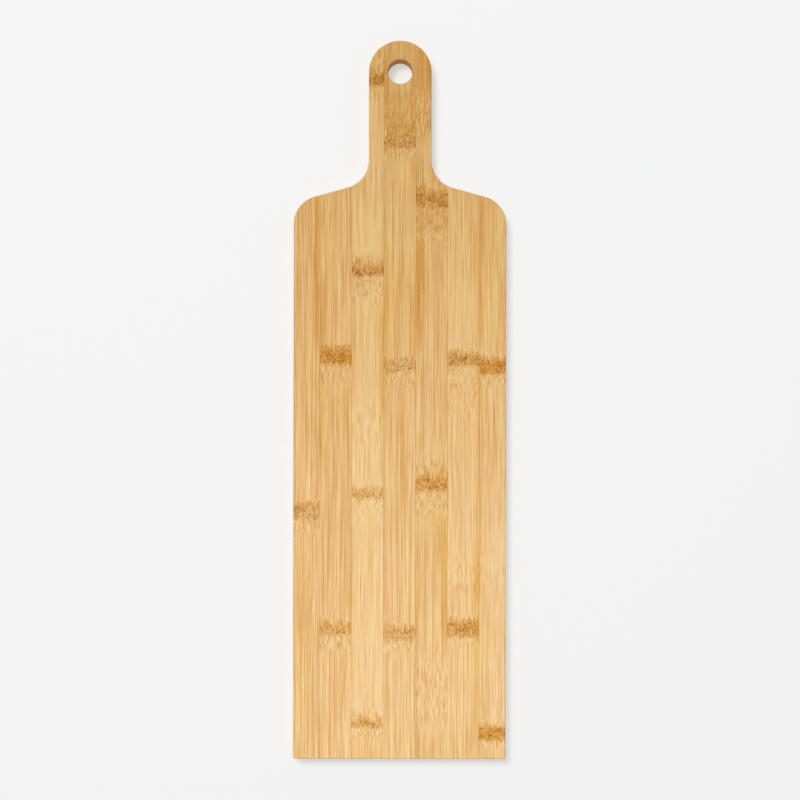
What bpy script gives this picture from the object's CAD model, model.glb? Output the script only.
# %% [markdown]
# # A bamboo paddle board
# The board is pressed from three crossed layers of bamboo strips. Seven strips run lengthwise on
# each face, and short strips run crosswise between them. The pressed panel is sawn to a paddle,
# bored for hanging and eased along its edges. This lesson models every strip as its own piece and
# then gives each one its own grain, because neighbouring strips come from different stalks.
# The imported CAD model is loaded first. It is the frame that all pieces have to fit.

# %% Load the frame
import math
from typing import NamedTuple

import bpy
import numpy as np
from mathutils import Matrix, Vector


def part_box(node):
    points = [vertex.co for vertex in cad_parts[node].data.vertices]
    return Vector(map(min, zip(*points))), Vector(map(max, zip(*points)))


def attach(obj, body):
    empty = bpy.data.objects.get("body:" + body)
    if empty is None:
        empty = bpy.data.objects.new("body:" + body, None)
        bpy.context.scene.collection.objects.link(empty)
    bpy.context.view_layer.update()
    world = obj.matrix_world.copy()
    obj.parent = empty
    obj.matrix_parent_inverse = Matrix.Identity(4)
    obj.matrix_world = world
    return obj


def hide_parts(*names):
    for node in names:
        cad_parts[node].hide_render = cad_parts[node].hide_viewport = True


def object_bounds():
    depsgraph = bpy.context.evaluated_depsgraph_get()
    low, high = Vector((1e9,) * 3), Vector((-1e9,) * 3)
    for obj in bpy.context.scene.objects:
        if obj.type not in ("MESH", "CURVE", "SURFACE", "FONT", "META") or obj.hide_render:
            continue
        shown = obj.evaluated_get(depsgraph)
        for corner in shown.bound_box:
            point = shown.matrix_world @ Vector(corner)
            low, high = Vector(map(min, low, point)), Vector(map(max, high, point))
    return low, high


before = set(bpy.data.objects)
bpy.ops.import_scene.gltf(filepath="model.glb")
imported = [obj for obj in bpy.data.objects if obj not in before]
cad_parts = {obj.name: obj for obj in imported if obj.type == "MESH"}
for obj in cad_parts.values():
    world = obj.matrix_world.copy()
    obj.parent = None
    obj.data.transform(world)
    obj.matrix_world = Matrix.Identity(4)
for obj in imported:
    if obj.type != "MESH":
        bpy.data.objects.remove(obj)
cad_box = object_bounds()
mm = 0.001
scene = bpy.context.scene
print("CAD box in mm:", [[round(value / mm, 2) for value in corner] for corner in cad_box])

# %% [markdown]
# ## Camera
# The photograph looks straight down on the board. The inside of the hanging hole tells how far
# away the camera was: the wall that shows is as wide as a 12 mm wall looks from about 0.9 m above
# the face. A camera that looks down needs no turn, apart from a small roll because the board lies
# a trifle askew in the picture.

# %% Set the camera
camera_height = 895 * mm
view_width = 556.4 * mm
view_centre = (0.22 * mm, -0.15 * mm)
view_roll = math.radians(0.1)
face_z = cad_box[1].z

camera_data = bpy.data.cameras.new("overhead_camera")
camera_data.sensor_width = 36
camera_data.lens = camera_data.sensor_width * camera_height / view_width
camera = bpy.data.objects.new("overhead_camera", camera_data)
camera.location = (*view_centre, face_z + camera_height)
camera.rotation_euler = (0, 0, view_roll)
scene.collection.objects.link(camera)
scene.camera = camera
print("lens in mm:", round(camera_data.lens, 2))

# %% [markdown]
# ## A helper for shader nodes
# The lamp, the sky, the card floor and the bamboo are all set up with shader nodes. To add and wire
# one takes several lines, so a small bench does that, and gives back the new node's output.

# %% A helper that adds and wires shader nodes
Socket = bpy.types.NodeSocket


class NodeBench:
    """Adds nodes to a material, lamp or sky. Most methods give back the new node's output socket."""

    def __init__(self, owner):
        owner.use_nodes = True
        self.owner = owner
        self.nodes = owner.node_tree.nodes
        self.links = owner.node_tree.links
        self.shader = self.nodes.get("Principled BSDF")

    def add(self, kind, inputs, out=0, **settings):
        """A node of this kind, with its settings, and with values or sockets on its inputs."""
        node = self.nodes.new(kind)
        for key, value in settings.items():
            setattr(node, key, value)
        for key, value in inputs.items():
            self.feed(node.inputs[key], value)
        return node.outputs[out]

    def feed(self, socket, value):
        """Wires a socket to an input, or sets the input to a value."""
        if isinstance(value, Socket):
            self.links.new(value, socket)
        else:
            socket.default_value = value

    def math(self, operation, a, b=0.0):
        """One sum, such as ABSOLUTE or MAXIMUM."""
        return self.add("ShaderNodeMath", {0: a, 1: b}, operation=operation)

    def plus(self, a, b):
        """Sum of two values."""
        return self.math("ADD", a, b)

    def minus(self, a, b):
        """The first value less the second."""
        return self.math("SUBTRACT", a, b)

    def times(self, a, b):
        """Product of two values."""
        return self.math("MULTIPLY", a, b)

    def fade(self, value, start, stop, least=0.0):
        """Rises smoothly from least to 1 as a value goes from start to stop, in either direction."""
        inputs = {"Value": value, "From Min": start, "From Max": stop, "To Min": least}
        return self.add("ShaderNodeMapRange", inputs, interpolation_type="SMOOTHSTEP")

    def near(self, value, middle, ends, length=1.0):
        """1 where a value is near a middle. Fades out between two distances, counted in lengths."""
        away = self.math("ABSOLUTE", self.minus(value, middle))
        return self.fade(away, ends[1] * length, ends[0] * length)

    def span(self, value, low, high):
        """Maps a value evenly onto 0 to 1 and stops at both ends."""
        return self.add("ShaderNodeMapRange", {"Value": value, "From Min": low, "From Max": high})

    def streaks(self, grain, wide, long, detail=2.0):
        """Noise whose patches are this wide and this long, in millimetres."""
        stretch = self.add("ShaderNodeVectorMath", {0: grain, 1: (1 / wide, 1 / long, 1 / wide)},
                           operation="MULTIPLY")
        return self.add("ShaderNodeTexNoise", {"Vector": stretch, "Scale": 1.0, "Detail": detail})

    def blend(self, share, under, over, mode="MIX"):
        """Lays one colour over another."""
        return self.add("ShaderNodeMix", {0: share, 6: under, 7: over}, out=2,
                        data_type="RGBA", blend_type=mode)

# %% [markdown]
# ## Light
# The shadow is narrow and soft, and falls to the right and towards the square end. It is wider at
# the square end than inside the hanging hole, so the main light is a large softbox that stands at
# the upper left, about two metres away. Its light is kept at one strength over the whole board, and
# a pale sky fills the rest. Together they make a white surface render as white, so a colour comes
# out as written.

# %% Softbox
softbox_place = Vector((-583, 835, 1904)) * mm
softbox_wide = 800 * mm
sky_share = 0.4
slant = softbox_place.z / softbox_place.length

key_data = bpy.data.lights.new("softbox", "AREA")
key_data.shape = "DISK"
key_data.size = softbox_wide
key_data.energy = math.pi ** 2 * (1 - sky_share) / slant
lamp = NodeBench(key_data)
even_light = lamp.add("ShaderNodeLightFalloff", {"Strength": 1}, out="Constant")
lamp.feed(lamp.nodes["Emission"].inputs["Strength"], even_light)
key = bpy.data.objects.new("softbox", key_data)
key.location = softbox_place
key.rotation_euler = (-softbox_place).to_track_quat("-Z", "Y").to_euler()
key.visible_camera = False
scene.collection.objects.link(key)
print("softbox strength:", round(key_data.energy, 3))

# %% Sky and backdrop
card_grey = 0.913
card_tone = (card_grey, card_grey, card_grey, 1)


def background_ray(bench):
    """1 for the rays that show the plain background: straight to the camera, mirrored or through glass."""
    rays = bench.add("ShaderNodeLightPath", {}).node.outputs
    shown = rays["Is Camera Ray"]
    for kind in ("Is Glossy Ray", "Is Transmission Ray"):
        shown = bench.math("MAXIMUM", shown, rays[kind])
    return shown


sky = NodeBench(bpy.data.worlds.new("pale_sky"))
sky_light = sky.nodes["Background"]
sky_light.inputs["Color"].default_value = (1, 1, 1, 1)
sky_light.inputs["Strength"].default_value = sky_share
backdrop = sky.add("ShaderNodeBackground", {"Color": card_tone})
sky_mix = sky.add("ShaderNodeMixShader", {"Fac": background_ray(sky), 1: sky_light.outputs[0], 2: backdrop})
sky.feed(sky.nodes["World Output"].inputs["Surface"], sky_mix)
scene.world = sky.owner
scene.view_settings.view_transform = "Standard"
print("sky strength:", sky_share, "backdrop grey:", card_grey)

# %% [markdown]
# ## Floor
# The board lies on a plain sheet of near-white card. In the photograph the shadow is faint and the
# card is an even grey-white, so for the camera a part of the card's brightness is its own. The rest
# is lit, and keeps the shadow. Far from the board the card is all its own brightness, so that it runs
# into the backdrop without a line.

# %% Card floor
floor_half = 12.0
card_drop = 0.3 * mm
card_tint = (card_grey, 1.005 * card_grey, 1.02 * card_grey, 1)
card_roughness = 0.9
lit_card_share = 0.43
lit_card_reach = (0.5, 1.4)

floor_mesh = bpy.data.meshes.new("card_floor")
floor_sides = ((-1, -1), (1, -1), (1, 1), (-1, 1))
floor_corners = [(x * floor_half, y * floor_half, -card_drop) for x, y in floor_sides]
floor_mesh.from_pydata(floor_corners, [], [(0, 1, 2, 3)])
card = NodeBench(bpy.data.materials.new("white_card"))
card.shader.inputs["Base Color"].default_value = card_tint
card.shader.inputs["Roughness"].default_value = card_roughness
card.shader.inputs["Specular IOR Level"].default_value = 0.0
card_place = card.add("ShaderNodeTexCoord", {}, out="Object")
card_away = card.add("ShaderNodeVectorMath", {0: card_place}, out="Value", operation="LENGTH")
card_own = card.fade(card_away, *lit_card_reach, least=1 - lit_card_share)
card_glow = card.add("ShaderNodeEmission", {"Color": card_tone})
card_share = card.times(background_ray(card), card_own)
card_mix = card.add("ShaderNodeMixShader", {"Fac": card_share, 1: card.shader.outputs[0], 2: card_glow})
card.feed(card.nodes["Material Output"].inputs["Surface"], card_mix)
floor_mesh.materials.append(card.owner)
floor = bpy.data.objects.new("card_floor", floor_mesh)
scene.collection.objects.link(floor)
print("card floor:", 2 * floor_half, "m wide, and", card_drop / mm, "mm below the board")

# %% [markdown]
# ## The board's outline
# A paddle's outline is easiest to think of as a walk: around the tip of the handle, down its side,
# through the hollow of the neck, along the sloping shoulder, around the shoulder's corner, down the
# blade and along its end. Every stretch is straight or an arc, so the point and the outward
# direction at any distance along the walk follow exactly, and the same walk can be shifted inwards
# by any amount to make the rounded edge. Sizes that the frame can tell are taken from it.

# %% Sizes of the board
handle_len = 83 * mm
neck_r = 20 * mm
shoulder_r = 20 * mm
shoulder_slope = math.radians(15.5)
end_corner_r = 1.5 * mm
hole_r = 8.5 * mm
edge_r = 1.0 * mm
rim_r = 0.6 * mm

tip_y = cad_box[1].y
end_y = cad_box[0].y
blade_half = cad_box[1].x
handle_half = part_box("handle_core_1")[1].x
core_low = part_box("hole_core")[0].z
core_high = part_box("hole_core")[1].z
board_t = face_z - cad_box[0].z
hole_y = tip_y - handle_half

shoulder_turn = math.pi / 2 - shoulder_slope
curve_reach = 1 - math.cos(shoulder_turn)
slope_from_x = handle_half + neck_r * curve_reach
slope_to_x = blade_half - shoulder_r * curve_reach
slope_len = (slope_to_x - slope_from_x) / math.cos(shoulder_slope)
shoulder_drop = (neck_r + shoulder_r) * math.sin(shoulder_turn) + slope_len * math.sin(shoulder_slope)
side_len = tip_y - handle_len - shoulder_drop - end_corner_r - end_y
print("slope and blade side in mm:", round(slope_len / mm, 2), round(side_len / mm, 2))

# %% Walk the right half of the outline
straight = 0.0
quarter = math.pi / 2
# Each stretch is its length and its bend: a radius if the edge bulges, a negative one if it is hollow
stretches = np.array([
    (handle_half * quarter, handle_half),
    (handle_len - handle_half, straight),
    (neck_r * shoulder_turn, -neck_r),
    (slope_len, straight),
    (shoulder_r * shoulder_turn, shoulder_r),
    (side_len, straight),
    (end_corner_r * quarter, end_corner_r),
    (blade_half - end_corner_r, straight),
])
# Where the blade's side and its end stand in that list
BLADE_SIDE, BLADE_END = 5, 7
lengths, bends = stretches.T
begins = np.concatenate([[0], np.cumsum(lengths)])
walk_len = begins[-1]
side_begin = begins[BLADE_SIDE]
end_begin = begins[BLADE_END]
turn_rates = np.divide(1, bends, out=np.zeros_like(bends), where=bends != straight)
facings = quarter - np.concatenate([[0], np.cumsum(lengths * turn_rates)[:-1]])
print("half of the outline in mm:", round(walk_len / mm, 2))

# %% Points along the walk


def facing_normal(facing):
    """Unit vector that points at an angle."""
    return np.stack([np.cos(facing), np.sin(facing)], -1)


def facing_step(facing):
    """Unit vector along the walk, which has the outside on its left."""
    return np.stack([np.sin(facing), -np.cos(facing)], -1)


# From one stretch to the next the walk moves by length times step, or by bend times the change of normal
ends = facings - lengths * turn_rates
arc_moves = bends[:, None] * (facing_normal(ends) - facing_normal(facings))
line_moves = lengths[:, None] * facing_step(facings)
moves = np.where((bends == straight)[:, None], line_moves, arc_moves)
corners = np.array([0, tip_y]) + np.concatenate([[[0, 0]], np.cumsum(moves, 0)[:-1]])


def outline_at(distance):
    """Points and outward normals at distances along the walk.

    On a straight stretch, point = its start + distance * step. On an arc the normal turns evenly,
    and point = its start + bend * (normal here - normal at its start).
    """
    distance = np.asarray(distance, float)
    i = np.clip(np.searchsorted(begins, distance, side="right") - 1, 0, len(lengths) - 1)
    gone = distance - begins[i]
    normal = facing_normal(facings[i] - gone * turn_rates[i])
    on_line = gone[..., None] * facing_step(facings[i])
    on_arc = bends[i][..., None] * (normal - facing_normal(facings[i]))
    return corners[i] + np.where((bends[i] == straight)[..., None], on_line, on_arc), normal


def inset_outline(distance, inset):
    """The walk shifted inwards: point - inset * normal."""
    point, normal = outline_at(distance)
    return point - np.asarray(inset)[..., None] * normal


print("the walk ends at mm:", np.round(outline_at(walk_len)[0] / mm, 3))

# %% Knots of the walk
arc_step = math.radians(3)
corner_step = math.radians(11.25)
turns = np.abs(lengths * turn_rates)
steps = np.where(bends == end_corner_r, corner_step, arc_step)
counts = np.maximum(1, np.ceil(turns / steps)).astype(int)
knots = np.unique(np.concatenate([np.linspace(begins[k], begins[k + 1], n + 1)
                                  for k, n in enumerate(counts)]))
print(len(knots), "knots on half of the outline")

# %% [markdown]
# ## Cutting strips from the outline
# A strip is the part of the board between two glue seams. Its rim follows the walk from one seam to
# the other, and closes along the seams. A stack of such rims, each at its own height and shifted
# inwards a little more, makes the wall and its rounded edge. Where the rim meets a seam, the meeting
# point is solved again for each shift, so the seam stays a true plane and neighbours touch.

# %% Find where a shifted rim meets a seam
SEARCH = 6001
SEAM_CLEAR = 1.5 * mm
ACROSS, ALONG = 0, 1


def meets_seam(axis, value, inset, begin, stop):
    """Distance along the walk, between two others, where a shifted rim has this x or y."""
    distance = np.linspace(begin, stop, SEARCH)
    reached = inset_outline(distance, np.full(SEARCH, inset))[:, axis]
    order = np.argsort(reached, kind="stable")
    return np.interp(value, reached[order], distance[order])


def rim_run(insets, begin, stop):
    """Rim points between two places on the walk, one row for each inset.

    begin and stop hold one distance for each inset. The knots between them are shared by all rows.
    """
    inner = knots[(knots > max(begin) + SEAM_CLEAR) & (knots < min(stop) - SEAM_CLEAR)]
    middle = np.broadcast_to(inner, (len(insets), len(inner)))
    distance = np.concatenate([np.array(begin)[:, None], middle, np.array(stop)[:, None]], 1)
    return inset_outline(distance, np.broadcast_to(np.array(insets)[:, None], distance.shape))


def seam_places(insets, axis, value, begin, stop):
    """Where the rim of each inset meets one seam."""
    return [meets_seam(axis, value, inset, begin, stop) for inset in insets]


print("the walk passes the hole after mm:", round(meets_seam(ALONG, hole_y, 0, 0, end_begin) / mm, 2))

# %% Rims of the strips


def mirrored_loop(chain):
    """A closed loop from the right half of a symmetric piece, which starts and ends on the middle line."""
    left = chain[:, -2:0:-1] * [-1, 1]
    return np.concatenate([chain, left], 1)


def centre_strip_loop(insets, half_width):
    """Rims of the middle strip, clockwise from the tip."""
    top = seam_places(insets, ACROSS, half_width, 0, side_begin)
    foot = seam_places(insets, ACROSS, half_width, end_begin, walk_len)
    upper = rim_run(insets, [0] * len(insets), top)
    lower = rim_run(insets, foot, [walk_len] * len(insets))
    chain = np.concatenate([upper, lower], 1)
    chain[:, [0, -1], ACROSS] = 0
    return mirrored_loop(chain)


def side_strip_loop(insets, near, far):
    """Rims of a strip on the right-hand side between two seams, clockwise; the outermost has one seam."""
    top = seam_places(insets, ACROSS, near, 0, side_begin)
    foot = seam_places(insets, ACROSS, near, end_begin, walk_len)
    if far > blade_half - edge_r:
        return rim_run(insets, top, foot)
    top_far = seam_places(insets, ACROSS, far, 0, side_begin)
    foot_far = seam_places(insets, ACROSS, far, end_begin, walk_len)
    return np.concatenate([rim_run(insets, top, top_far), rim_run(insets, foot_far, foot)], 1)


def cross_strip_loop(insets, upper_y, lower_y):
    """Rims of a crosswise strip between two seams, clockwise from the middle line."""
    at_tip = upper_y > tip_y - edge_r
    at_end = lower_y < end_y + edge_r
    begin = [0] * len(insets) if at_tip else seam_places(insets, ALONG, upper_y, 0, end_begin)
    stop = [walk_len] * len(insets) if at_end else seam_places(insets, ALONG, lower_y, 0, end_begin)
    run = rim_run(insets, begin, stop)
    middle = np.zeros((len(insets), 1, 2))
    head = [] if at_tip else [middle + [0, upper_y]]
    tail = [] if at_end else [middle + [0, lower_y]]
    chain = np.concatenate([*head, run, *tail], 1)
    chain[:, [0, -1], ACROSS] = 0
    return mirrored_loop(chain)


print("points around the whole board:", cross_strip_loop(np.zeros(1), tip_y, end_y).shape[1])

# %% Close a stack of rims into a solid
HOLE_SIDES = 128
SHARP_ANGLE = math.radians(30)


def hole_loop(radii):
    """Rings around the hanging hole, clockwise from the side of the tip."""
    angle = quarter - np.linspace(0, 2 * math.pi, HOLE_SIDES, endpoint=False)
    return np.array([0, hole_y]) + np.array(radii)[:, None, None] * facing_normal(angle)


def stack_points(loops, heights):
    """Puts each rim at its height: one row of x, y, z for each point."""
    z = np.broadcast_to(np.array(heights)[:, None, None], (*loops.shape[:2], 1))
    return np.concatenate([loops, z], 2).reshape(-1, 3)


def wall_quads(levels, around, first):
    """Four-sided faces between each rim of a stack and the next one up, looking outwards."""
    level = np.arange(levels - 1)[:, None] * around
    here = np.arange(around)[None]
    ahead = (here + 1) % around
    quads = np.stack([level + here, level + around + here, level + around + ahead, level + ahead], -1)
    return first + quads.reshape(-1, 4)


def solid_piece(name, rim, rim_heights, bore=None, bore_heights=None):
    """A closed mesh from a stack of rims, with flat caps below and above.

    A bored piece has a second stack around the hole, turned to face its middle, and each cap is two
    faces that meet on the middle line.
    """
    levels, around = rim.shape[:2]
    points = stack_points(rim, rim_heights)
    faces = wall_quads(levels, around, 0).tolist()
    low_rim = np.arange(around)
    high_rim = low_rim + (levels - 1) * around
    if bore is None:
        faces += [low_rim.tolist(), high_rim[::-1].tolist()]
    else:
        first = len(points)
        points = np.concatenate([points, stack_points(bore, bore_heights)])
        faces += wall_quads(len(bore), HOLE_SIDES, first)[:, ::-1].tolist()
        half = around // 2
        low_ring = first + np.arange(HOLE_SIDES + 1) % HOLE_SIDES
        high_ring = low_ring + (len(bore) - 1) * HOLE_SIDES
        for outer, ring, step in ((low_rim, low_ring, 1), (high_rim, high_ring, -1)):
            right = np.concatenate([outer[:half + 1], ring[HOLE_SIDES // 2::-1]])
            left = np.concatenate([outer[half:], outer[:1], ring[:HOLE_SIDES // 2 - 1:-1]])
            faces += [right[::step].tolist(), left[::step].tolist()]
    mesh = bpy.data.meshes.new(name)
    mesh.from_pydata(points.tolist(), [], faces)
    mesh.shade_smooth()
    mesh.set_sharp_from_angle(angle=SHARP_ANGLE)
    piece = bpy.data.objects.new(name, mesh)
    scene.collection.objects.link(piece)
    return piece


print("steps around the hole:", HOLE_SIDES, "of mm:", round(2 * math.pi * hole_r / HOLE_SIDES / mm, 3))

# %% [markdown]
# ## Rounded edges
# A sanded edge is a quarter circle from the wall to the face. Its shift and height follow the angle:
# shift = radius * (1 - cos), height = radius * sin. One more rim a little further in lies flat on the
# face, so that the smooth shading of the round stops there and the face stays flat.

# %% Profiles of the layers
ROUND_STEPS = 8
FACE_HOLD = 0.15 * mm


def eased_profile(radius, z_low, z_high):
    """Shifts and heights of a wall with its upper edge rounded over."""
    angle = np.linspace(0, quarter, ROUND_STEPS + 1)
    shift = np.concatenate([[0], radius * (1 - np.cos(angle)), [radius + FACE_HOLD]])
    height = np.concatenate([[z_low], z_high - radius * (1 - np.sin(angle)), [z_high]])
    return shift, height


def face_layers(radius, upper):
    """The eased profile of the upper face's strips, or the same turned over for the underside."""
    shift, height = eased_profile(radius, core_high, face_z)
    if upper:
        return shift, height
    return shift[::-1], (board_t - height)[::-1]


print("rims in a strip of a face:", len(face_layers(edge_r, True)[0]))

# %% [markdown]
# ## Bamboo
# A bamboo strip shows pale and tan streaks along its length, with hair-thin darker fibres. All of it
# is made from noise that is stretched along the grain, in millimetres, on Object coordinates. One
# wood pattern over the whole board would be simpler, but then neighbouring strips would share their
# grain. Each strip has its own marks, so each has its own material, made by one function.

# %% Tones of the wood


def paint(red, green, blue):
    """A colour given as it looks on screen, 0 to 255, as the linear values that a shader takes."""
    screen = np.array([red, green, blue]) / 255
    linear = np.where(screen <= 0.04045, screen / 12.92, ((screen + 0.055) / 1.055) ** 2.4)
    return (*linear.tolist(), 1.0)


PALE = paint(255, 227, 174)
STRAW = paint(247, 203, 142)
TAN = paint(224, 171, 100)
FIBRE = paint(194, 139, 70)
LEMON_TINT = (1.0, 1.0, 0.90, 1.0)
ROSE_TINT = (1.0, 0.955, 0.98, 1.0)
AMBER_TINT = (0.90, 0.77, 0.46, 1.0)
JOINT_SHADE = paint(192, 115, 2)
JOINT_GRAIN = paint(245, 189, 68)
JOINT_SPECK = paint(170, 97, 0)
FLAME = paint(212, 148, 54)
GLUE = paint(174, 122, 58)
HANDLE_TINT = (0.735, 0.66, 0.465, 1.0)
RUBBED_TINT = (0.95, 0.92, 0.87, 1.0)
END_GRAIN = paint(250, 214, 156)
END_SHADE = paint(238, 196, 134)
PORE = paint(184, 134, 76)
print("pale and tan wood as linear values:", np.round(PALE, 3), np.round(TAN, 3))

# %% Where the pattern lies on a strip
SOFT = 1.0
SEED_STEP = (37.1, 613.7, 91.3)
WANDER_SIZE = (26, 95)
WANDER_SHIFT = 2.5


class Place(NamedTuple):
    """Sockets that say where a point lies on its strip, in millimetres."""

    across: Socket
    along: Socket
    height: Socket
    to_tip: Socket
    grain: Socket


def grain_place(bench, seed, crosswise):
    """Distances across and along the grain, height, distance towards the tip, and the noise's place.

    The grain wanders sideways a little over its length. The seed moves the noise to another part
    of the stalk.
    """
    place = bench.add("ShaderNodeTexCoord", {}, out="Object")
    scaled = bench.add("ShaderNodeVectorMath", {0: place, 1: (1 / mm,) * 3}, operation="MULTIPLY")
    x, y, z = bench.add("ShaderNodeSeparateXYZ", {0: scaled}).node.outputs
    across, along = (y, x) if crosswise else (x, y)
    joined = bench.add("ShaderNodeCombineXYZ", {0: across, 1: along, 2: z})
    moved = bench.add("ShaderNodeVectorMath", {0: joined, 1: [step * seed for step in SEED_STEP]},
                      operation="ADD")
    wander = bench.streaks(moved, *WANDER_SIZE, SOFT)
    shift = bench.add("ShaderNodeCombineXYZ", {0: bench.times(wander, WANDER_SHIFT)})
    grain = bench.add("ShaderNodeVectorMath", {0: moved, 1: shift}, operation="ADD")
    return Place(across, along, z, y, grain)

# %% [markdown]
# ## Streaks
# Between the joints the fibres lie straight, and their tone is a sum of stretched noises: fine and
# strong ones for the fibre bundles, wide and weak ones for the stalk. Short grains that lean to both
# sides are the mean of two leaned noises. They serve near the joints, and in the curly patches that
# the plane leaves where the fibres swerve.

# %% Straight and crossed streaks
MID_TONE = 0.5
STREAK_SPAN = (0.34, 0.66)
# The layers of a tone: width and length of the streaks in millimetres, and weight
CALM_LAYERS = [(0.4, 85, 1.0), (0.42, 22, 0.6), (0.9, 60, 0.12), (9, 260, 0.15)]
FLAME_LAYERS = [(0.7, 7, 2.2), (2.2, 14, 0.4)]
FLAME_LEAN = 0.12
RICE_LAYERS = [(0.45, 6, 2.4), (1.6, 9, 0.15)]
RICE_LEAN = 0.18


def streak_tone(bench, grain, layers):
    """Sum of streak noises around the middle tone: tone = 0.5 + sum of weight * (noise - 0.5)."""
    tone = MID_TONE
    for wide, long, weight in layers:
        noise = bench.span(bench.streaks(grain, wide, long), *STREAK_SPAN)
        swing = bench.times(bench.minus(noise, MID_TONE), weight)
        tone = bench.plus(tone, swing)
    return tone


def leaned(bench, grain, slope):
    """The same place on a grain that leans over: across + slope * along."""
    parts = bench.add("ShaderNodeSeparateXYZ", {0: grain}).node.outputs
    across = bench.plus(parts[0], bench.times(parts[1], slope))
    return bench.add("ShaderNodeCombineXYZ", {0: across, 1: parts[1], 2: parts[2]})


def crossed_tone(bench, grain, layers, slope):
    """Short grains that lean to both sides and cross each other: the mean of two leaned tones."""
    to_left = streak_tone(bench, leaned(bench, grain, slope), layers)
    to_right = streak_tone(bench, leaned(bench, grain, -slope), layers)
    return bench.times(bench.plus(to_left, to_right), 0.5)

# %% Curly patches, and lengths of another tone
CURL_LEAN = 0.15
CURL_CALM = 0.5
CURL_ENDS = (1 / 6, 1 / 2)
LENGTH_ENDS = (0.3, 0.65)
GRIP_BEGIN = 60
GRIP_FULL = 230


class Curl(NamedTuple):
    """A patch of curly grain in millimetres: its middle, length, and wave width and length; strength."""

    middle: float
    length: float
    wide: float
    long: float
    strength: float


def curled_tone(bench, place, tone, curls):
    """Wavy strokes that lean to both sides, which the plane leaves where the fibres swerve.

    The straight streaks give way to them: swing = swing * (1 - CURL_CALM * share) + waves * share.
    """
    swing = bench.minus(tone, MID_TONE)
    for curl in curls:
        waves = crossed_tone(bench, place.grain, [(curl.wide, curl.long, curl.strength)], CURL_LEAN)
        share = bench.near(place.along, curl.middle, CURL_ENDS, curl.length)
        kept = bench.minus(1.0, bench.times(share, CURL_CALM))
        swerve = bench.times(bench.minus(waves, MID_TONE), share)
        swing = bench.plus(bench.times(swing, kept), swerve)
    return bench.plus(swing, MID_TONE)


class Length(NamedTuple):
    """A paler or darker length of a strip in millimetres: its middle, its length and its lift."""

    middle: float
    length: float
    lift: float


def length_tone(bench, place, lengths):
    """The stalk's colour changes slowly along it: each length lifts the tone and fades at both ends."""
    total = 0.0
    for piece in lengths:
        share = bench.near(place.along, piece.middle, LENGTH_ENDS, piece.length)
        total = bench.plus(total, bench.times(share, piece.lift))
    return total


def gripped_share(bench, place):
    """How much a place has been gripped and oiled: 0 on the blade, 1 at the tip of the handle."""
    return bench.fade(place.to_tip, GRIP_BEGIN, GRIP_FULL)

# %% [markdown]
# ## Joints
# Every twenty to thirty centimetres the stalk had a joint. There a brown, speckled band crosses the
# strip, ragged like a flame above, and below it the streaks break up into grains like rice. Masks
# along the strip say how much of each shows at a place. Noise shifts the edges of the masks, so that
# no edge is a straight line.

# %% Masks of the joints
SWAY_SIZE = (5, 60)
SWAY = 3.0
FRAY_SIZE = (1.1, 40)
HEAD_FRAY = 6.0
HEEL_FRAY = 3.0
# How far above or below an edge of the band a mask begins, and where it is full
VEIL_TOP = (2, -4)
SPECK_TOP = (1, -3)
BAND_FOOT = (-2, 2.5)
RICE_FULL = 0.3


class Joint(NamedTuple):
    """A joint that crosses a strip.

    Its middle and thickness are in millimetres. Its veil and specks are strengths from 0 to 1, and
    its flame and rice grain are how far they reach, in millimetres.
    """

    middle: float
    thick: float
    veil: float
    specks: float
    flame: float
    rice: float


def strongest(bench, masks):
    """The highest of several masks at each place."""
    most = masks[0]
    for mask in masks[1:]:
        most = bench.math("MAXIMUM", most, mask)
    return most


def joint_masks(bench, place, joints):
    """How much veil, specks, flame and rice grain there is over a strip, each from 0 to 1.

    The band lies between its top and its foot. The flame fades out above it, and the rice grain
    below it. All edges sway and are frayed along the fibres.
    """
    sway = bench.minus(bench.streaks(place.grain, *SWAY_SIZE, SOFT), 0.5)
    fray = bench.minus(bench.streaks(place.grain, *FRAY_SIZE, SOFT), 0.5)
    swayed = bench.plus(place.along, bench.times(sway, SWAY))
    head = bench.plus(swayed, bench.times(fray, HEAD_FRAY))
    heel = bench.plus(swayed, bench.times(fray, HEEL_FRAY))
    veils, specks, flames, rices = [], [], [], []
    for joint in joints:
        top = joint.middle + joint.thick / 2
        foot = joint.middle - joint.thick / 2
        over_foot = bench.fade(heel, foot + BAND_FOOT[0], foot + BAND_FOOT[1])
        band = bench.times(bench.fade(head, top + VEIL_TOP[0], top + VEIL_TOP[1]), over_foot)
        veils.append(bench.times(band, joint.veil))
        dense = bench.times(bench.fade(heel, top + SPECK_TOP[0], top + SPECK_TOP[1]), over_foot)
        specks.append(bench.times(dense, joint.specks))
        upper = bench.fade(heel, foot, top)
        if joint.flame:
            flames.append(bench.times(bench.fade(head, top + joint.flame, top), upper))
        if joint.rice:
            lower = bench.minus(1.0, upper)
            below = bench.fade(head, foot - joint.rice, foot - RICE_FULL * joint.rice)
            rices.append(bench.times(below, lower))
    return [strongest(bench, masks) for masks in (veils, specks, flames, rices)]

# %% Colours of the joints
EVEN_SPAN = (0.3, 0.7)
DASH_SIZE = (0.85, 6.5)
FLAME_TEAR = (1.1, 2.0)
FLAME_SHARE = 0.8
BLOTCH_SIZE = (4, 5)
BLOTCH_SPAN = (0.3, 0.65)
GRAIN_SIZE = (0.65, 2.0)
GRAIN_SPAN = (0.4, 0.65)
VEIL_LEAST = 0.65
SPECK_SIZE = (0.66, 1.6)
SPECK_LEAN = 0.35
SPECK_LEAST = 0.6
SPECK_TEAR = (1.02, 1.52)
SPECK_SHARE = 0.92


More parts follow.
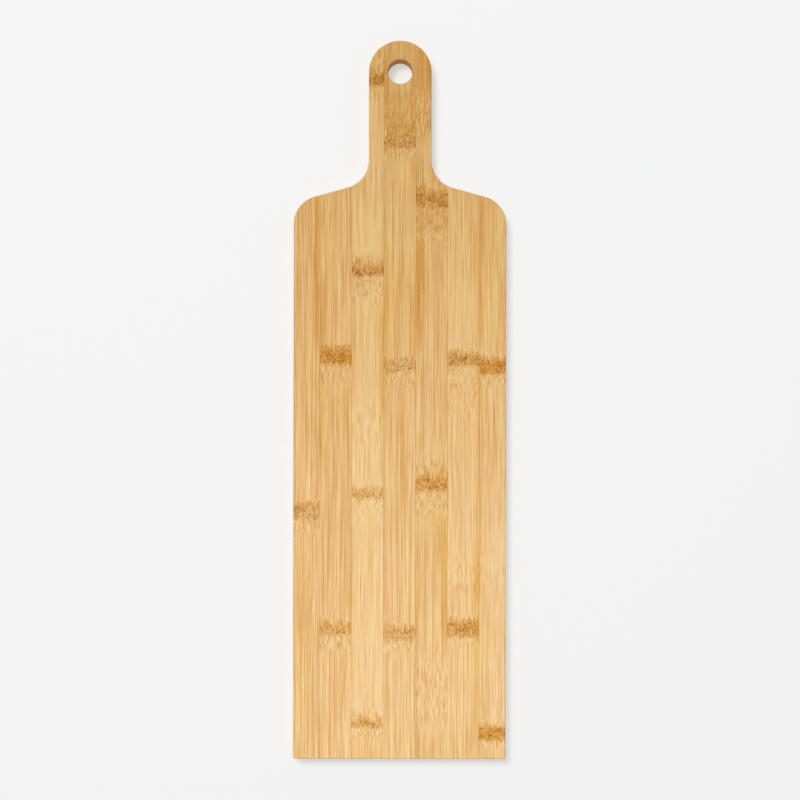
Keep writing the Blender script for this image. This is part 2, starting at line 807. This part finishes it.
def joint_colour(bench, grain, colour, veil, specks, flame):
    """Lays flame, veil and specks over the streaks.

    Where a mask is weak, only the highest peaks of a noise show, so its edges are ragged.
    """
    dashes = bench.span(bench.streaks(grain, *DASH_SIZE), *EVEN_SPAN)
    torn = bench.fade(bench.plus(dashes, flame), *FLAME_TEAR)
    colour = bench.blend(bench.times(torn, FLAME_SHARE), colour, FLAME)
    blotch = bench.span(bench.streaks(grain, *BLOTCH_SIZE, SOFT), *BLOTCH_SPAN)
    grains = bench.span(bench.streaks(leaned(bench, grain, SPECK_LEAN), *GRAIN_SIZE), *GRAIN_SPAN)
    thickness = bench.plus(VEIL_LEAST, bench.times(blotch, 1 - VEIL_LEAST))
    smoke = bench.times(veil, thickness)
    colour = bench.blend(smoke, colour, bench.blend(grains, JOINT_SHADE, JOINT_GRAIN))
    peaks = bench.span(bench.streaks(leaned(bench, grain, -SPECK_LEAN), *SPECK_SIZE), *EVEN_SPAN)
    crowd = bench.plus(SPECK_LEAST, bench.times(blotch, 1 - SPECK_LEAST))
    spread = bench.times(specks, crowd)
    dots = bench.fade(bench.plus(peaks, spread), *SPECK_TEAR)
    return bench.blend(bench.times(dots, SPECK_SHARE), colour, JOINT_SPECK)

# %% [markdown]
# ## Margins, glue lines and knife marks
# Some strips were planed close to the stalk's skin, and are honey-coloured along one edge. The glue
# shows as a hair-thin line in each seam, and a knife has left a few faint marks. Each of these is one
# colour laid over the wood, by a share that fades with the distance from its line.

# %% Colours along the seams, and knife marks
AMBER_FULL = 0.3
AMBER_OUTER = 14
AMBER_INNER = 10
GLUE_ENDS = (0.06, 0.28)
GLUE_SHARE = 0.45
SCRATCH_ENDS = (0.3, 0.5)
SCRATCH_SIDES = (0.1, 0.45)
SCRATCH_SHARE = 0.5


class Margin(NamedTuple):
    """An amber margin in millimetres: its seam, its width from there, its two ends, and its strength."""

    seam: float
    width: float
    begin: float
    stop: float
    share: float


def amber_colour(bench, place, colour, margins):
    """Honey-coloured margins of a strip, where it was planed close to the stalk's skin."""
    for margin in margins:
        near = bench.fade(place.across, margin.seam + margin.width, margin.seam + AMBER_FULL * margin.width)
        lower = bench.fade(place.along, margin.begin - AMBER_OUTER, margin.begin + AMBER_INNER)
        upper = bench.fade(place.along, margin.stop + AMBER_OUTER, margin.stop - AMBER_INNER)
        reach = bench.times(lower, upper)
        share = bench.times(bench.times(near, reach), margin.share)
        colour = bench.blend(share, colour, AMBER_TINT, "MULTIPLY")
    return colour


def glue_colour(bench, place, colour, seams):
    """Hair-thin darker lines where a strip meets its neighbours."""
    for seam in seams:
        share = bench.times(bench.near(place.across, seam, GLUE_ENDS), GLUE_SHARE)
        colour = bench.blend(share, colour, GLUE)
    return colour


class Scratch(NamedTuple):
    """A knife mark in millimetres: its middle across and along the strip, its length, and its slope."""

    across: float
    along: float
    length: float
    slope: float


def scratched_colour(bench, place, colour, scratches):
    """Hair-thin marks that a knife has left across the fibres."""
    for scratch in scratches:
        sideways = bench.minus(place.across, scratch.across)
        line = bench.plus(scratch.along, bench.times(sideways, scratch.slope))
        reach = bench.near(place.across, scratch.across, SCRATCH_ENDS, scratch.length)
        share = bench.times(bench.near(place.along, line, SCRATCH_SIDES), reach)
        colour = bench.blend(bench.times(share, SCRATCH_SHARE), colour, FIBRE)
    return colour

# %% [markdown]
# ## End grain and edges
# Where a strip is sawn across, its fibre bundles show as dots, closer together towards the stalk's
# skin. A Voronoi pattern gives each bundle a cell, and the surface's own direction tells where the
# saw has cut. The rounded edges are handled most, and are a little darker with oil.

# %% Colours of sawn ends and rubbed edges
BUNDLE_APART = 0.72
BUNDLE_LONG = 50
CUT_FACING = (0.3, 0.95)
CUT_SHARE = 0.85
SKIN_CROWD = 0.2
PORE_EDGE = (0.32, 0.1)
PORE_SHARE = 0.75
END_BAND_SIZE = (2.4, 90)
FACE_TO_EDGE = (0.97, 0.6)
WALL_TO_EDGE = (0.02, 0.3)


def end_grain_colour(bench, place, colour, crosswise, skin):
    """Where the surface looks along the fibres, the cut bundles show as dots.

    They are larger and closer towards the stalk's skin. skin is the heights of the strip's inner
    side and of its skin side.
    """
    facing = bench.add("ShaderNodeNewGeometry", {}, out="Normal")
    along_fibre = bench.add("ShaderNodeSeparateXYZ", {0: facing}).node.outputs[0 if crosswise else 1]
    cut = bench.fade(bench.math("ABSOLUTE", along_fibre), *CUT_FACING)
    spread = (1 / BUNDLE_APART, 1 / BUNDLE_LONG, 1 / BUNDLE_APART)
    bundles = bench.add("ShaderNodeVectorMath", {0: place.grain, 1: spread}, operation="MULTIPLY")
    away = bench.add("ShaderNodeTexVoronoi", {"Vector": bundles, "Scale": 1.0})
    crowd = bench.times(bench.fade(place.height, *skin), SKIN_CROWD)
    dots = bench.fade(bench.minus(away, crowd), *PORE_EDGE)
    bands = bench.span(bench.streaks(place.grain, *END_BAND_SIZE, SOFT), *EVEN_SPAN)
    ground = bench.blend(bands, END_GRAIN, END_SHADE)
    sawn = bench.blend(bench.times(dots, PORE_SHARE), ground, PORE)
    return bench.blend(bench.times(cut, CUT_SHARE), colour, sawn)


def rubbed_colour(bench, colour):
    """Rounded edges are handled most: they are rubbed smooth, and a little darker with oil."""
    facing = bench.add("ShaderNodeNewGeometry", {}, out="Normal")
    upright = bench.math("ABSOLUTE", bench.add("ShaderNodeSeparateXYZ", {0: facing}).node.outputs[2])
    rounded = bench.times(bench.fade(upright, *FACE_TO_EDGE), bench.fade(upright, *WALL_TO_EDGE))
    return bench.blend(rounded, colour, RUBBED_TINT, "MULTIPLY")


print("fibre bundles in a square mm:", round(1 / BUNDLE_APART ** 2, 2))

# %% [markdown]
# ## One strip's finish
# The finish puts these steps in order: tone, wood colour, margins, joints, marks, glue, sawn ends and
# edges. The wood gets darker towards the handle's tip, as it does from hands and oil. A thin coat of
# oil gives a satin gloss, and a shallow bump lets the fibres be felt.

# %% Tone, colour and gloss of a strip
GRIP_CONTRAST = 0.35
WARMTH_SIZE = (2.6, 160)
HAIR_SIZE = (0.5, 110)
HAIR_ENDS = (0.0, 0.05)
HAIR_SHARE = 0.3
GRIP_HAIR = 0.3
OILED = (-260, 275)
FELT_SIZE = (0.35, 16)
GLOSS_LEAST = 0.56
GLOSS_SWING = 0.14
BUMP_STRENGTH = 0.4
BUMP_DEEP = 0.04 * mm
OIL_IOR = 1.45
OIL_SHINE = 0.3


def strip_tone(bench, place, lift, breaks, curls, lengths):
    """The wood's tone, from 0 for tan to 1 for pale: streaks, broken up, curled and lifted.

    Each of breaks is a mask, and the layers and lean of the short grains that show there.
    """
    tone = streak_tone(bench, place.grain, CALM_LAYERS)
    for mask, layers, slope in breaks:
        grains = crossed_tone(bench, place.grain, layers, slope)
        tone = bench.add("ShaderNodeMix", {0: mask, 2: tone, 3: grains})
    if curls:
        tone = curled_tone(bench, place, tone, curls)
    contrast = bench.plus(1.0, bench.times(gripped_share(bench, place), GRIP_CONTRAST))
    swing = bench.times(bench.minus(tone, MID_TONE), contrast)
    raised = bench.plus(length_tone(bench, place, lengths), lift)
    return bench.plus(bench.plus(MID_TONE, swing), raised)


def wood_colour(bench, place, tone):
    """Tan, straw and pale by tone, warmer and cooler by turns across the strip, with darker hairs."""
    dark_half = bench.blend(bench.span(tone, 0.0, MID_TONE), TAN, STRAW)
    colour = bench.blend(bench.span(tone, MID_TONE, 1.0), dark_half, PALE)
    warmth = bench.span(bench.streaks(place.grain, *WARMTH_SIZE, SOFT), *EVEN_SPAN)
    colour = bench.blend(1.0, colour, bench.blend(warmth, LEMON_TINT, ROSE_TINT), "MULTIPLY")
    hair = bench.near(bench.streaks(place.grain, *HAIR_SIZE, SOFT), 0.5, HAIR_ENDS)
    inked = bench.plus(HAIR_SHARE, bench.times(gripped_share(bench, place), GRIP_HAIR))
    return bench.blend(bench.times(hair, inked), colour, FIBRE)


def oil_surface(bench, grain):
    """A thin coat of oil: satin, a little uneven, with the fibres still to be felt."""
    fibres = bench.streaks(grain, *FELT_SIZE)
    gloss = bench.plus(GLOSS_LEAST, bench.times(fibres, GLOSS_SWING))
    bench.feed(bench.shader.inputs["Roughness"], gloss)
    bump = bench.add("ShaderNodeBump", {"Height": fibres, "Strength": BUMP_STRENGTH, "Distance": BUMP_DEEP})
    bench.feed(bench.shader.inputs["Normal"], bump)
    bench.shader.inputs["IOR"].default_value = OIL_IOR
    bench.shader.inputs["Specular IOR Level"].default_value = OIL_SHINE


def bamboo(name, seed, lift, joints, skin, margins=(), curls=(), lengths=(), scratches=(), seams=(),
           crosswise=False):
    """The finish of one strip.

    lift makes it paler or darker. joints, margins, curls, lengths and scratches are lists.
    seams are the places of its glue lines, and skin the heights of its inner side and skin side.
    """
    bench = NodeBench(bpy.data.materials.new(name))
    place = grain_place(bench, seed, crosswise)
    breaks = ()
    if joints:
        veil, specks, flame, rice = joint_masks(bench, place, joints)
        breaks = ((flame, FLAME_LAYERS, FLAME_LEAN), (rice, RICE_LAYERS, RICE_LEAN))
    tone = strip_tone(bench, place, lift, breaks, curls, lengths)
    colour = wood_colour(bench, place, tone)
    colour = amber_colour(bench, place, colour, margins)
    if joints:
        colour = joint_colour(bench, place.grain, colour, veil, specks, flame)
    colour = scratched_colour(bench, place, colour, scratches)
    colour = glue_colour(bench, place, colour, seams)
    colour = end_grain_colour(bench, place, colour, crosswise, skin)
    colour = bench.blend(bench.fade(place.to_tip, *OILED), colour, HANDLE_TINT, "MULTIPLY")
    bench.feed(bench.shader.inputs["Base Color"], rubbed_colour(bench, colour))
    oil_surface(bench, place.grain)
    return bench.owner


print("roughness of the oiled wood:", GLOSS_LEAST, "to", round(GLOSS_LEAST + GLOSS_SWING, 2))

# %% [markdown]
# ## The strips
# Every strip is made by the same steps: its rims, its solid, its finish, and the node that it stands
# for. The two faces are alike, with the underside turned over. The seams come from the frame, so the
# strips meet where the CAD strips meet.

# %% Make a lengthwise strip
seam_1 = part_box("top_strip_right_1")[0].x
seam_2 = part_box("top_strip_right_2")[0].x
seam_3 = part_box("top_strip_right_3")[0].x
line_1, line_2, line_3 = seam_1 / mm, seam_2 / mm, seam_3 / mm
side_spans = {1: (seam_1, seam_2), 2: (seam_2, seam_3), 3: (seam_3, blade_half)}
strip_names = {-3: "left_3", -2: "left_2", -1: "left_1", 0: "centre",
               1: "right_1", 2: "right_2", 3: "right_3"}


def put_in_place(piece, node, finish):
    """Gives a strip its finish, and says which node it stands for."""
    piece.data.materials.append(finish)
    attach(piece, "root")
    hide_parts(node)


def face_strip(name, place, upper):
    """One lengthwise strip: place 0 is the middle one, and others count outwards, left ones negative."""
    shift, height = face_layers(edge_r, upper)
    bore = bore_height = None
    if place == 0:
        loop = centre_strip_loop(shift, seam_1)
        rim_shift, bore_height = face_layers(rim_r, upper)
        bore = hole_loop(hole_r + rim_shift)
    else:
        loop = side_strip_loop(shift, *side_spans[abs(place)])
        if place < 0:
            loop = (loop * [-1, 1])[:, ::-1]
    return solid_piece(name, loop, height, bore, bore_height)


def strip_seams(place):
    """Where a strip's glue lines lie across the board, in millimetres."""
    if place == 0:
        return (-line_1, line_1)
    return tuple(math.copysign(x, place) / mm for x in side_spans[abs(place)] if x < blade_half)


def make_face(layer, upper, seed, skin, lifts, joints, margins, curls, lengths, scratches):
    """The seven strips of one face, each with the marks that are listed for its place."""
    for place, side in strip_names.items():
        finish = bamboo(f"{layer}_bamboo_{side}", place + seed, lifts[place], joints[place], skin,
                        margins.get(place, ()), curls.get(place, ()), lengths.get(place, ()),
                        scratches.get(place, ()), strip_seams(place))
        piece = face_strip(f"{layer}_bamboo_strip_{side}", place, upper)
        put_in_place(piece, f"{layer}_strip_{side}", finish)
        print(piece.name, len(piece.data.polygons), "faces")


print("glue lines right of the middle, in mm:", np.round([line_1, line_2, line_3], 2))

# %% [markdown]
# ## The serving face
# These seven strips are what the photograph shows. Their joints, amber margins, curly patches and
# paler lengths are put where it shows them, in millimetres from the board's middle. Each strip has a
# short list of each kind of mark. Painted masks could follow single specks, but lists stay easy to
# read and to change.

# %% Joints of the serving face
face_joints = {
    -3: [Joint(-77.8, 12, 0.33, 0.7, 3, 14)],
    -2: [Joint(30.5, 12, 1.0, 0.7, 6, 26), Joint(-159.5, 10, 0.4, 0.6, 4, 16)],
    -1: [Joint(223.2, 10, 0.85, 0.82, 18, 16), Joint(89.7, 9, 0.68, 0.8, 16, 28),
         Joint(83, 3, 0.1, 0.8, 0, 0), Joint(-66, 7, 0.4, 0.65, 6, 20), Joint(-225, 7, 0.7, 0.66, 12, 11)],
    0: [Joint(202, 28, 0.32, 0.2, 0, 0), Joint(182, 4, 0, 0, 44, 0), Joint(180, 12, 0.45, 0.72, 0, 12),
        Joint(23.5, 9, 0.15, 0.75, 3, 18), Joint(-163, 11, 0.4, 0.65, 4, 14)],
    1: [Joint(180, 30, 0, 0, 30, 0), Joint(139, 13, 0.72, 0.75, 8, 38), Joint(126, 16, 0.3, 0.15, 0, 0),
        Joint(-58.5, 12, 0.62, 0.7, 18, 28)],
    2: [Joint(28, 10.5, 0.55, 0.75, 4, 34), Joint(-159.5, 12, 0.78, 0.7, 8, 8)],
    3: [Joint(23, 11, 1.0, 0.7, 6, 12), Joint(-231.5, 11, 0.88, 0.74, 6, 7)],
}
print(sum(len(joints) for joints in face_joints.values()), "joints on the serving face")

# %% Other marks of the serving face
handle_side = 22
face_lift = {-3: -0.09, -2: -0.04, -1: 0.22, 0: 0.02, 1: 0.0, 2: 0.12, 3: 0.09}
face_margins = {
    -3: [Margin(-line_3, -6, 41, 139, 0.7)],
    -2: [Margin(-line_3, 6, 41, 83, 0.75), Margin(-line_3, 3.5, -42, 0, 0.6)],
    -1: [Margin(-line_1, -40, 212, 245, 0.22), Margin(-line_2, 3.5, 0, 69, 0.45),
         Margin(-line_1, -4.5, -14, 62, 1.0), Margin(-line_2, 3.5, -195, -98, 0.4),
         Margin(-line_2, 75, -265, -238, 0.35)],
    0: [Margin(-line_1, 3, -140, 139, 0.5), Margin(-line_1, 75, 35, 85, 0.25)],
    1: [Margin(handle_side, -14, 212, 265, 0.95), Margin(line_1, 7.5, 41, 111, 0.95),
        Margin(line_1, 14, 80, 104, 0.45), Margin(line_1, 4, -167, -126, 0.45),
        Margin(line_2, -6, -167, -84, 1.0)],
    2: [Margin(line_3, -3.5, -90, 139, 0.5), Margin(line_3, -6, -135, -100, 0.95),
        Margin(line_3, -6.5, -237, -130, 0.75)],
    3: [Margin(line_3, 3.5, 41, 139, 0.95), Margin(line_3, 3.5, -125, 13, 0.55)],
}
face_curls = {
    -2: [Curl(4, 34, 2.5, 9, 0.4)],
    -1: [Curl(-16, 48, 3, 10, 0.8), Curl(-90, 40, 2.5, 9, 0.3)],
    1: [Curl(-202, 78, 0.75, 9, 1.35)],
    2: [Curl(-2, 44, 1.6, 8, 0.9), Curl(-122, 40, 1.3, 8, 1.0)],
    3: [Curl(-110, 60, 2.5, 10, 0.5)],
}
face_lengths = {
    -1: [Length(190, 70, 0.12), Length(120, 36, 0.17), Length(-244, 26, -0.12)],
    0: [Length(120, 36, 0.1)],
    1: [Length(188, 46, 0.25), Length(-244, 26, -0.14)],
    2: [Length(57, 56, 0.1), Length(-101, 36, 0.06), Length(-244, 26, -0.12)],
    3: [Length(-101, 36, 0.14), Length(-205, 30, -0.08), Length(-244, 26, -0.15)],
}
face_scratches = {
    -1: [Scratch(-25, 83, 11, -0.15)],
    0: [Scratch(8, 78.8, 9, -0.1)],
    1: [Scratch(15.5, 77.6, 8, -0.18)],
}
print(sum(len(margins) for margins in face_margins.values()), "amber margins on the serving face")

# %% Strips of the serving face
top_seed = 5
top_skin = (core_high / mm, face_z / mm)
make_face("top", True, top_seed, top_skin, face_lift, face_joints, face_margins, face_curls, face_lengths,
          face_scratches)

# %% [markdown]
# ## The underside
# The photograph doesn't show the underside. Its strips keep the seams of the serving face, and have
# marks of the same kinds in other places.

# %% Strips of the underside
under_seed = 15
under_skin = (core_low / mm, 0)
under_joints = {
    -3: [Joint(122, 11, 0.9, 0.7, 5, 14), Joint(-141, 9, 0.35, 0.65, 3, 24)],
    -2: [Joint(-38, 13, 0.7, 0.75, 8, 30), Joint(-212, 7, 0.15, 0.6, 4, 16)],
    -1: [Joint(153, 10, 0.5, 0.7, 12, 18), Joint(-108, 8, 0.8, 0.6, 4, 26)],
    0: [Joint(46, 12, 0.25, 0.75, 20, 14), Joint(-204, 10, 0.9, 0.65, 5, 12)],
    1: [Joint(198, 9, 0.6, 0.6, 6, 22), Joint(-14, 12, 1.0, 0.75, 7, 20)],
    2: [Joint(84, 11, 0.4, 0.7, 4, 30), Joint(-172, 12, 0.75, 0.7, 14, 10)],
    3: [Joint(6, 10, 0.8, 0.7, 5, 18)],
}
under_lift = {-3: 0.1, -2: -0.06, -1: 0.05, 0: 0.2, 1: -0.02, 2: 0.12, 3: 0.0}
under_margins = {
    -2: [Margin(-line_3, 3.5, -160, -60, 0.6)],
    0: [Margin(line_1, -4, -120, 20, 0.7)],
    2: [Margin(line_2, 4, 20, 130, 0.6), Margin(line_3, -3.5, -240, -130, 0.5)],
}
under_curls = {-1: [Curl(20, 50, 2.5, 9, 0.6)], 1: [Curl(-120, 70, 0.8, 8, 1.2)]}
make_face("bottom", False, under_seed, under_skin, under_lift, under_joints, under_margins, under_curls,
          lengths={}, scratches={})

# %% [markdown]
# ## The core
# The strips of the core run crosswise, and show only at the board's edge and inside the hole. Their
# walls are upright, because only the outer edges of the faces are rounded. Cut short as they are,
# they have no stalk joints, and a sine makes each a little paler or darker than the next.

# %% Strips of the core
core_seed = 31
core_lift = -0.1
core_lift_swing = 0.12
core_lift_turn = 2.4
core_layer = (core_low, core_high)
core_skin = (core_low / mm, core_high / mm)
core_nodes = sorted(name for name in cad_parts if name.endswith("_core") or "_core_" in name)
for count, node in enumerate(core_nodes):
    low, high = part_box(node)
    glued = [y / mm for y in (low.y, high.y) if end_y + edge_r < y < tip_y - edge_r]
    lift = core_lift + core_lift_swing * math.sin(core_lift_turn * count)
    finish = bamboo(f"bamboo_{node}", core_seed + count, lift, [], core_skin, seams=glued, crosswise=True)
    loop = cross_strip_loop(np.zeros(2), high.y, low.y)
    bore = hole_loop(np.full(2, hole_r)) if node == "hole_core" else None
    piece = solid_piece(f"crosswise_{node}", loop, core_layer, bore, core_layer)
    put_in_place(piece, node, finish)
print(len(core_nodes), "crosswise strips")
